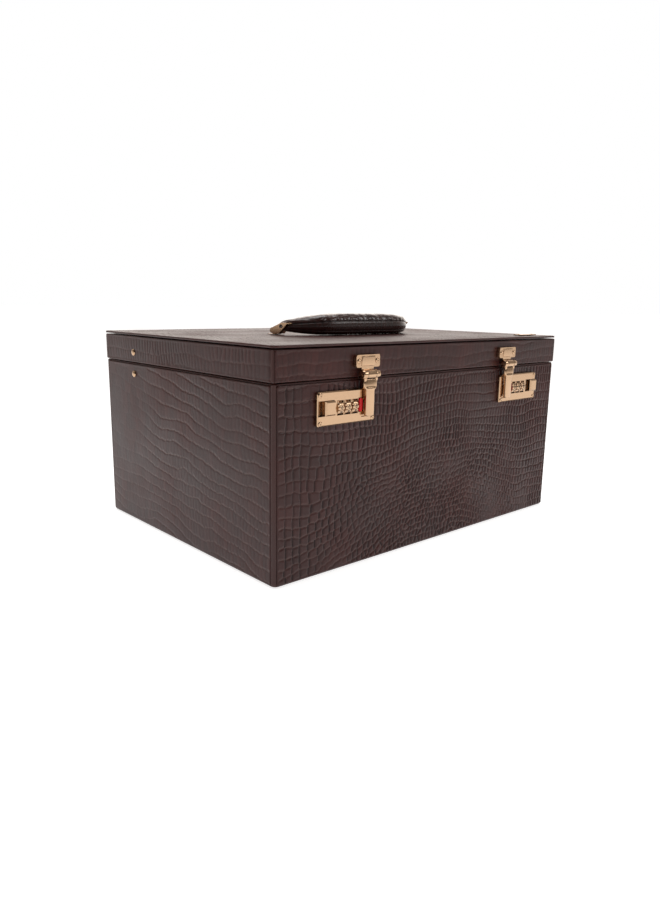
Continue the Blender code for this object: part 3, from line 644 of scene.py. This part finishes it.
def metal(name, code, roughness):
    """Polished metal: its roughness varies by 0.12 over rubs about 1.7 mm apart."""
    mat, tree, shader = material(name, Base_Color=linear(code), Metallic=1.0)
    place = node(tree, "TexCoord").outputs["Object"]
    rub = node(tree, "TexNoise", Vector=place, Scale=RUBS_PER_METRE, Detail=3.0).outputs["Fac"]
    rough = node(tree, "MapRange", Value=rub, _3=roughness - 0.04, _4=roughness + 0.08).outputs[0]
    tree.links.new(rough, shader.inputs["Roughness"])
    return mat


def cloth(name, code, other, clumps_per_metre):
    """Napped cloth: two tones and a bump by clumps of fibres, and a sheen where it turns away."""
    mat, tree, shader = material(name, Roughness=0.95, Sheen_Weight=0.4, Sheen_Roughness=0.5)
    place = node(tree, "TexCoord").outputs["Object"]
    nap = node(tree, "TexNoise", Vector=place, Scale=clumps_per_metre, Detail=3.0).outputs["Fac"]
    tree.links.new(ramp(tree, nap, ((0.3, code), (0.7, other))), shader.inputs["Base Color"])
    bump = node(tree, "Bump", Height=nap, Strength=0.4, Distance=0.4 * MM).outputs[0]
    tree.links.new(bump, shader.inputs["Normal"])
    return mat


# Zinc and brass, plated in pale pinkish gold and buffed: nearly sharp reflections.
GOLD = metal("champagne_gold_plate", "#c2a182", 0.17)
# Pressed steel with dull nickel, for the hinge, the stays and the screws: a soft grey shine.
STEEL = metal("nickel_plated_steel", "#b5ada0", 0.35)
# Short-fibred microsuede glued to card: matt, with a faint mottle.
SUEDE = cloth("beige_microsuede", "#b79c80", "#c6ac8f", 900.0)
# Short-piled velvet over foam: paler at its turned-away edges.
VELVET = cloth("beige_velvet", "#c2a78a", "#d4bc9f", 1200.0)
# Woven base cloth under the case: dark and matt.
BASE = cloth("brown_base_cloth", "#2a1d1b", "#3a2a27", 1500.0)
# Enamel paint that shows beside the dials: a clear red under a low gloss.
RED = material("red_enamel", Base_Color=linear("#c80410"), Roughness=0.35, Specular_IOR_Level=0.3)[0]
# Silvered float glass: a clean mirror.
MIRROR = material("silvered_glass", Base_Color=linear("#f2f4f5"), Metallic=1.0, Roughness=0.02)[0]
SLOT_FINISH = {"croc_leather": CROC, "wrapped_edges": WRAP, "grip_leather": GRIP, "gold": GOLD,
               "steel": STEEL, "red": RED, "suede": SUEDE, "velvet": VELVET, "base_cloth": BASE,
               "mirror": MIRROR}
for part in frame["record"]["subparts"]:
    frame["nodes"][part["node"]].data.materials.clear()
    frame["nodes"][part["node"]].data.materials.append(SLOT_FINISH[part["material_slot"]])
print(len(SLOT_FINISH), "finishes")

# %% [markdown]
# ## Locks, hasps and rivets
#
# The fittings are die-cast zinc and stamped brass, plated in pale gold and polished. The
# frame's plates and barrels have the right outlines; what they lack is what a press leaves:
# domed rivets with a dimple, a raised field between them, a rounded strap and knurled dials.
# Each is a profile carried round an axis or along a path, so its edges catch the light.

# %% Closed forms from rings of points
def wrapped_faces(rows, cols):
    """Quads of a grid that closes on itself both ways, like a tyre."""
    index = np.arange(rows * cols).reshape(rows, cols)
    down, side = np.roll(index, -1, 0), np.roll(index, -1, 1)
    both = np.roll(down, -1, 1)
    return np.stack([index, down, both, side], -1).reshape(-1, 4)


def loft(rings):
    """Points, quads and two end caps of a form through rings of shape (n, around, 3)."""
    rings = np.asarray(rings, float)
    n, around = rings.shape[:2]
    ring = np.arange(around)
    caps = [ring.tolist(), (n - 1) * around + ring[::-1]]
    return rings.reshape(-1, 3), grid_faces(n, around, wrap=True), [list(map(int, c)) for c in caps]


def gathered(parts):
    """Several closed forms as one mesh's points, quads and caps."""
    points, quads, caps, count = [], [], [], 0
    for part_points, part_quads, part_caps in parts:
        points.append(part_points)
        quads.append(np.asarray(part_quads).reshape(-1, 4) + count)
        caps += [[c + count for c in cap] for cap in part_caps]
        count += len(part_points)
    return np.concatenate(points), np.concatenate(quads), caps


def solid(name, parts):
    """A mesh from closed forms, each turned so that its faces point outwards."""
    fixed = []
    for points, quads, caps in parts:
        a, b, c, d = (points[quads[:, k]] for k in range(4))
        volume = np.einsum("ij,ij->", a, np.cross(b, c)) + np.einsum("ij,ij->", a, np.cross(c, d))
        for cap in caps:
            ring = points[cap]
            volume += ring[0] @ np.cross(ring[1:-1], ring[2:]).sum(0)
        if volume < 0:
            quads, caps = quads[:, ::-1], [cap[::-1] for cap in caps]
        fixed.append((points, quads, caps))
    return make_mesh(name, *gathered(fixed))


def rivet(place, out, radius=1.5, height=0.75, dimple=0.45, around=20):
    """A domed head: height h sqrt(1 - (r/R)^2), less a dimple exp(-(r/0.35R)^2); its foot is sunk."""
    out = np.array(out, float)
    side = np.cross(out, (1.0, 0, 0) if abs(out[0]) < 0.5 else (0, 1.0, 0))
    over = np.cross(out, side)
    r = radius * np.concatenate([[1.0, 1.0], np.cos(np.linspace(0, math.pi / 2, 9))[1:-1], [0.03]])
    rise = height * np.sqrt(np.clip(1 - (r / radius) ** 2, 0, 1))
    rise = rise - dimple * np.exp(-(r / (0.35 * radius)) ** 2)
    rise[0] = -0.4
    t = np.linspace(0, 2 * math.pi, around, endpoint=False)
    circle = side * np.cos(t)[:, None] + over * np.sin(t)[:, None]
    return loft([np.array(place) + circle * a + out * b for a, b in zip(r, rise)])


def rounded_bar(centre, half, power, along, count=28):
    """Rings of a bar: at each (place, scale) along z, a superellipse |x/a|^p + |y/b|^p = 1."""
    t = np.linspace(0, 2 * math.pi, count, endpoint=False)
    c, s = np.cos(t), np.sin(t)
    shape = np.stack([np.sign(c) * np.abs(c) ** (2 / power), np.sign(s) * np.abs(s) ** (2 / power)], -1)
    rings = []
    for z, wide, thick in along:
        xy = shape * (half[0] * wide, half[1] * thick)
        rings.append(np.stack([centre[0] + xy[:, 0], centre[1] + xy[:, 1], np.full(count, z)], -1))
    return loft(rings)


def pillow(x, z, face, proud):
    """A raised field on an upright plate: nested rectangles that rise by a quarter round."""
    rings = []
    for k in np.linspace(0, math.pi / 2, 6):
        inset, rise = 0.9 * (1 - math.cos(k)), proud * math.sin(k)
        a, b = (x[0] + inset, x[1] - inset), (z[0] + inset, z[1] - inset)
        corner = [(a[1], b[0]), (a[1], b[1]), (a[0], b[1]), (a[0], b[0])]
        rings.append([(p, face - rise, q) for p, q in corner])
    rings.insert(0, [(p, face + 0.3, q) for p, _, q in rings[0]])
    return loft(rings)


# %% Rivets and raised fields
SIDES = {"left": -1, "right": 1}
STRAPPED_CORNER = {"left": 3, "right": 1}  # the strap covers the plate's upper inner corner: no rivet
HASP_MIDDLE, HASP_FACE = 86.8, -129.6
for side, sign in SIDES.items():
    low, high = corners("lock_plate_" + side)
    pins = [rivet((x, low[1], z), (0, -1, 0), 1.8, 0.7, 0.55) for x in (low[0] + 2.3, high[0] - 2.3)
            for z in (low[2] + 2.2, high[2] - 2.2)]
    del pins[STRAPPED_CORNER[side]]
    show(f"lock_rivets_{side}", solid(f"lock_rivets_{side}", pins), "case", GOLD, sharp=40)

    middle, top = sign * HASP_MIDDLE, corners("hasp_plate_" + side)[1][2]
    marks = [rivet((middle + dx, HASP_FACE, top - 4.6), (0, -1, 0), 2.0, 0.9, 0.75) for dx in (-9.2, 9.2)]
    marks.append(pillow((middle - 6.8, middle + 6.8), (top - 8.2, top - 0.9), HASP_FACE, 0.6))
    marks.append(pillow((middle - 11.6, middle + 11.6), (top - 0.95, top - 0.05), HASP_FACE, 0.35))
    show(f"hasp_relief_{side}", solid(f"hasp_relief_{side}", marks), "lid", GOLD, sharp=40)
print("rivets and raised fields made")

# %% Rounded straps
PIN_Y, PIN_Z, BARREL_RADIUS = -131.5, 145.5, 3.2  # the hasp's pin, seen from its end
COLLAR = ((133.6, 1, 1), (134.3, 1.06, 1.0), (134.8, 1.22, 1.12), (135.3, 1.3, 1.14), (135.9, 1.42, 1.0),
          (136.6, 1.56, 0.9), (137.2, 1.576, 0.88), (141.6, 1.576, 0.88), (142.0, 1.55, 0.8))


def strap_parts(side):
    """The strap's bar with its collar, two arms, two barrels and the hook behind it."""
    low, high = corners("hasp_strap_" + side)
    middle = (low[0] + high[0]) / 2
    foot = ((low[2], 0.70, 0.5), (low[2] + 0.25, 0.86, 0.8), (low[2] + 0.9, 1, 1))
    parts = [rounded_bar((middle, -131.55), (4.25, 1.95), 3.4, foot + COLLAR)]
    for sign in (-1, 1):
        arm = ((140.6, 0.9, 0.8), (141.2, 1, 1), (146.0, 1, 1))
        parts.append(rounded_bar((middle + sign * 5.55, PIN_Y), (1.2, 1.8), 4, arm, 16))
        t = np.linspace(0, 2 * math.pi, 28, endpoint=False)
        near, far = 4.35, (high[0] - low[0]) / 2
        profile = ((near, 0.9), (near + 0.02, 1.0), (far - 0.6, 1.0), (far - 0.15, 0.93), (far, 0.8))
        parts.append(loft([np.stack([np.full(28, middle + sign * a), PIN_Y + BARREL_RADIUS * r * np.cos(t),
                                     PIN_Z + BARREL_RADIUS * r * np.sin(t)], -1) for a, r in profile]))
    hook = ((118.2, 0.9, 0.9), (118.6, 1, 1), (125.5, 1, 1))
    parts.append(rounded_bar((middle, -129.1), (2.9, 1.1), 4, hook, 16))
    return parts


for side in SIDES:
    name = f"hasp_strap_{side}_form"
    strap = solid(name, strap_parts(side))
    show(name, strap, "hasp_" + side, GOLD, ("hasp_strap_" + side,), sharp=35)
print("straps made")

# %% Knurled dials with plain digits
DIAL_RADIUS, BORE_RADIUS, DIAL_STEP = 5.5, 1.2, math.radians(36)
DIGIT_SIZE, DIGIT_DEPTH = 3.9, 0.12


def dial_form(centre, axis, half, count=120):
    """A dial: radius R less 0.45 |s|^8 at the rims and less ten grooves between the digits.

    s runs from -1 to 1 across the dial; the loop closes through the bore.
    """
    s = np.concatenate([np.linspace(-1, 1, 11), [1.0, -1.0]])
    t = np.linspace(0, 2 * math.pi, count, endpoint=False)[:, None]
    off = np.abs((t / DIAL_STEP) % 1 - 0.5) * DIAL_STEP
    groove = 0.55 * np.exp(-(off / 0.075) ** 2)
    radius = DIAL_RADIUS - 0.45 * np.abs(s) ** 8 - groove * (0.35 + 0.65 * np.abs(s))
    radius[:, -2:] = BORE_RADIUS
    x = np.broadcast_to(centre + half * s, radius.shape)
    points = np.stack([x, axis[0] - radius * np.cos(t), axis[1] + radius * np.sin(t)], -1).reshape(-1, 3)
    return points, wrapped_faces(count, len(s)), []


def digit_form(text, size, depth):
    """A digit's mesh as flat points and faces, from Blender's own font, with its doubles merged."""
    curve = bpy.data.curves.new("digit_" + text, "FONT")
    curve.body, curve.size, curve.extrude, curve.resolution_u = text, size, depth, 3
    curve.align_x = curve.align_y = "CENTER"
    maker = bpy.data.objects.new("digit_" + text, curve)
    bpy.context.scene.collection.objects.link(maker)
    made = bpy.data.meshes.new_from_object(maker.evaluated_get(bpy.context.evaluated_depsgraph_get()))
    points = np.zeros(len(made.vertices) * 3)
    made.vertices.foreach_get("co", points)
    points, kept = np.unique(points.reshape(-1, 3).round(5), axis=0, return_inverse=True)
    kept = kept.reshape(-1)
    faces = [tuple(dict.fromkeys(kept[list(face.vertices)].tolist())) for face in made.polygons]
    bpy.data.objects.remove(maker)
    bpy.data.curves.remove(curve)
    bpy.data.meshes.remove(made)
    return points, [face for face in faces if len(face) > 2]


# Matt enamel wiped into the engraved digits: brown-black, with no shine of its own.
BLACK = material("black_engraving_paint", Base_Color=linear("#1a120c"), Roughness=0.5)[0]
DIGITS = [digit_form(str(number), DIGIT_SIZE, DIGIT_DEPTH) for number in range(10)]
for side in SIDES:
    for number in (1, 2, 3):
        name = f"dial_{side}_{number}"
        low, high = corners(name)
        centre, half = (low[0] + high[0]) / 2, (high[0] - low[0]) / 2
        axis = ((low[1] + high[1]) / 2, (low[2] + high[2]) / 2)
        dial = solid(name, [dial_form(centre, axis, half)])
        show(name + "_knurled", dial, name, GOLD, (name,), sharp=35)
        points, faces, count = [], [], 0
        for value, (flat, polygons) in enumerate(DIGITS):
            angle = value * DIAL_STEP + flat[:, 1] / DIAL_RADIUS
            radius = DIAL_RADIUS - 0.02 + flat[:, 2]
            points.append(np.stack([centre + flat[:, 0], axis[0] - radius * np.cos(angle),
                                    axis[1] + radius * np.sin(angle)], -1))
            faces += [tuple(v + count for v in face) for face in polygons]
            count += len(flat)
        digits = make_mesh(name + "_digits", np.concatenate(points), np.zeros((0, 4), int), faces)
        show(name + "_digits", digits, name, BLACK, sharp=30)
print("dials made, with", len(DIGITS), "digits each")

# %% Ribs in the slider's slot, screws of the back hinge, pins of the blank plate
SLOT_START = {"left": -132.6, "right": 119.2}
for side, start in SLOT_START.items():
    ribs = [rounded_bar((start + 0.5 + k * 1.15, -125.6), (0.42, 0.5), 3, ((116, 1, 1), (130, 1, 1)), 12)
            for k in range(12)]
    show(f"slot_ribs_{side}", solid(f"slot_ribs_{side}", ribs), "case", GOLD, sharp=40)
for node_name, body in (("hinge_leaf_body", "case"), ("hinge_leaf_lid", "lid")):
    low, high = corners(node_name)
    level = (low[2] + 6.5) if body == "case" else (high[2] - 6.5)
    heads = [rivet((x, 127.7, level), (0, 1, 0), 2.0, 0.5, 0.35) for x in np.linspace(-138, 138, 7)]
    show(node_name + "_screws", solid(node_name + "_screws", heads), body, STEEL, sharp=40)
low, high = corners("lid_blank_plate")
pins = [rivet((x, (low[1] + high[1]) / 2, high[2]), (0, 0, 1), 0.9, 0.4, 0.2)
        for x in (low[0] + 2.2, high[0] - 2.2)]
show("blank_plate_pins", solid("blank_plate_pins", pins), "lid", GOLD, sharp=40)
print("slot ribs, hinge screws and plate pins made")

# %% [markdown]
# ## The padded handle
#
# The handle is a bow: a steel core in felt, covered with glazed hide. A crowned top piece
# and a soft underside are sewn to a flat band that runs round the front and back, so two
# seams follow the whole bow, and the top puckers where it is drawn down to the upper seam.
# A revolved tube would miss the flat band, so we carry a profile along the bow: at each
# place u the profile is a rounded box, pinched in at the two seam heights.

# %% The grip
GRIP_END, GRIP_BOW, GRIP_HALF, END_ROUND = 75.6, 72.0, 11.0, 6.0
SEAM_LOW, SEAM_HIGH = 171.9, 180.2


def grip_surface(u, t):
    """The grip's surface at u (-1 to 1 along the bow) and t (angle round it), in millimetres.

    x = end * sin(u pi / 2). With p = |x| / bow, the middle bows back by 18 p^5 and the
    half-depth falls by 59 % of p^6. The profile is a superellipse (|cos t|^0.55,
    |sin t|^0.75), closed over at the ends by a quarter circle; each seam is a groove
    exp(-((z - seam) / w)^2) with w about 0.5, and the top puckers as a sine along x.
    """
    x = GRIP_END * np.sin(u * math.pi / 2)
    part = np.minimum(np.abs(x) / GRIP_BOW, 1.0)
    past = np.clip(np.abs(x) - (GRIP_END - END_ROUND), 0, END_ROUND) / END_ROUND
    close = np.sqrt(np.clip(1 - past ** 2, 0, 1))
    low_frame, high_frame = corners("handle_grip")
    middle = (low_frame[1] + GRIP_HALF) + 18.0 * part ** 5
    half = GRIP_HALF * (1 - 0.59 * part ** 6) * (0.35 + 0.65 * close)
    top, bottom = high_frame[2] - 6.8 * part ** 4, low_frame[2] + 3.2 * part ** 6
    centre, rise = (top + bottom) / 2, (top - bottom) / 2 * (0.2 + 0.8 * close)
    c, s = np.cos(t), np.sin(t)
    y = middle + half * np.sign(c) * np.abs(c) ** 0.55
    z = centre + rise * np.sign(s) * np.abs(s) ** 0.75
    high_seam = SEAM_HIGH - 3.6 * part ** 4
    low_seam = SEAM_LOW + 1.6 * part ** 6
    above = np.clip(z - high_seam, 0, None)
    groove = 0.75 * np.exp(-((z - high_seam) / 0.55) ** 2) + 0.55 * np.exp(-((z - low_seam) / 0.5) ** 2)
    pucker = np.sin(x / 1.15 + 2.2 * smooth_noise(x + 90, t * 8 + 20, 9, 81))
    pucker = pucker * np.exp(-((above - 1.2) / 1.6) ** 2)
    crinkle = smooth_noise(x + 90, t * 11 + 30, 5, 82) + 0.6 * smooth_noise(x + 90, t * 11 + 30, 2.2, 83)
    swell = 0.28 * pucker * (above > 0) + 0.30 * crinkle * eased(above, 0.5, 2.5)
    inward = groove - swell - 0.35 * np.exp(-((z - (high_seam + low_seam) / 2) / 2.6) ** 2)
    y = y - np.sign(c) * inward * np.abs(c) ** 0.4
    z = z - np.sign(s) * inward * eased(np.abs(s), 0.55, 0.95)
    return np.stack([x, y, np.clip(z, low_frame[2] + 0.05, high_frame[2])], -1), groove


def grip_mesh(along=280, around=120):
    """The closed grip: rings of the surface, and one point at each end."""
    u = np.linspace(-1, 1, along)[1:-1]
    t = np.linspace(0, 2 * math.pi, around, endpoint=False)
    uu, tt = np.meshgrid(u, t, indexing="ij")
    points, groove = grip_surface(uu, tt)
    rings = len(u)
    first, last = points[0].mean(0), points[-1].mean(0)
    first[0] -= 0.05
    last[0] += 0.05
    n = rings * around
    ring = np.arange(around)
    caps = [(n, int(a), int(b)) for a, b in zip(ring, np.roll(ring, -1))]
    caps += [(n + 1, int(a), int(b)) for a, b in zip(n - around + np.roll(ring, -1), n - around + ring)]
    mesh = make_mesh("grip", np.concatenate([points.reshape(-1, 3), [first, last]]),
                     grid_faces(rings, around, wrap=True)[:, ::-1], caps)
    row_mark, column_mark, tone = scales(uu * 70 + 70, tt * 9.0, (140, 57), seed=91, widths=(4, 5, 4),
                                         rows=((6, 6, 6),) * 3, wave=2.0, relief=0.5)[1:]
    # The seam grooves join the column mark, so they take the painted crease shade, darker where deeper.
    mark(mesh, row_mark * 0.5, column_mark * 0.6 + groove * 0.8, tone, 2)
    return mesh


grip = show("handle_grip_hide", grip_mesh(), "handle", GRIP, ("handle_grip",))
print("grip:", len(grip.data.polygons), "faces")

# %% [markdown]
# ## The ring cushion
#
# Under the lid, the tray's big pocket holds a ring cushion: eight foam rolls side by side,
# covered with one piece of velvet pushed down between them, so that rings stand in the
# slits. The velvet is short-piled, which gives pale edges where it turns away: that is
# the sheen in its material.

# %% Rolls of velvet
def ring_rolls(u, v, size, count=8, deep=13.0):
    """The cushion's top, as a scale pattern: eight rolls and a soft fall at both ends of u.

    With p = 0 on a roll's crest and 1 in a slit, the drop is deep (1 - sqrt(1 - p^2.4)).
    """
    phase = v / size[1] * count
    part = np.abs((phase % 1) - 0.5) * 2
    roll = 1 - np.sqrt(np.clip(1 - part ** 2.4, 0, 1))
    ends = eased(np.minimum(u, size[0] - u), 0, 7)
    pull = 0.5 * smooth_noise(u, v, 14, 101) + 0.25 * smooth_noise(u, v, 4, 102)
    drop = deep * roll + 4.0 * (1 - ends) + 0.5 + pull
    tone = 0.5 + 0.5 * smooth_noise(u, v, 30, 103)
    return 0.16 - drop, np.zeros_like(u), 0.8 * eased(part, 0.85, 1.0), tone


low, high = corners("ring_cushion")
size = (high[0] - low[0] - 0.4, high[1] - low[1] - 0.4)
path = flat_path(np.array((low[0] + 0.2, high[1] - 0.2, high[2])), np.array((1.0, 0, 0)), UP)
rolls = panel_mesh("ring_cushion_velvet", path, size, high[2] - low[2], lambda u, v: ring_rolls(u, v, size),
                   step=0.95, roll=3.0)
cushion = show("ring_cushion_velvet", rolls, "tray", VELVET, ("ring_cushion",))
print("cushion of", round(size[0]), "by", round(size[1]), "mm")

# %% The light table
# Opal cast acrylic, lit from below: matt, with a glow that leaves only the edge of a shadow.
TABLE = material("lit_white_acrylic", Base_Color=linear("#c8c8c8"), Roughness=0.9, Specular_IOR_Level=0.1,
                 Emission_Color=linear("#ffffff"), Emission_Strength=0.8)[0]


def floor_sheet(size, step):
    """A flat square sheet under the case, from -size to size in metres, in even steps."""
    span = np.arange(-size, size + step, step)
    x, y = np.meshgrid(span, span, indexing="ij")
    return np.stack([x, y, np.zeros_like(x)], -1)


sheet = floor_sheet(20.0, 2.0)
floor_mesh = make_mesh("floor", sheet / MM, grid_faces(*sheet.shape[:2]))
floor_mesh.materials.append(TABLE)
floor = bpy.data.objects.new("floor", floor_mesh)
bpy.context.scene.collection.objects.link(floor)
print("a floor of", len(floor_mesh.polygons), "faces")
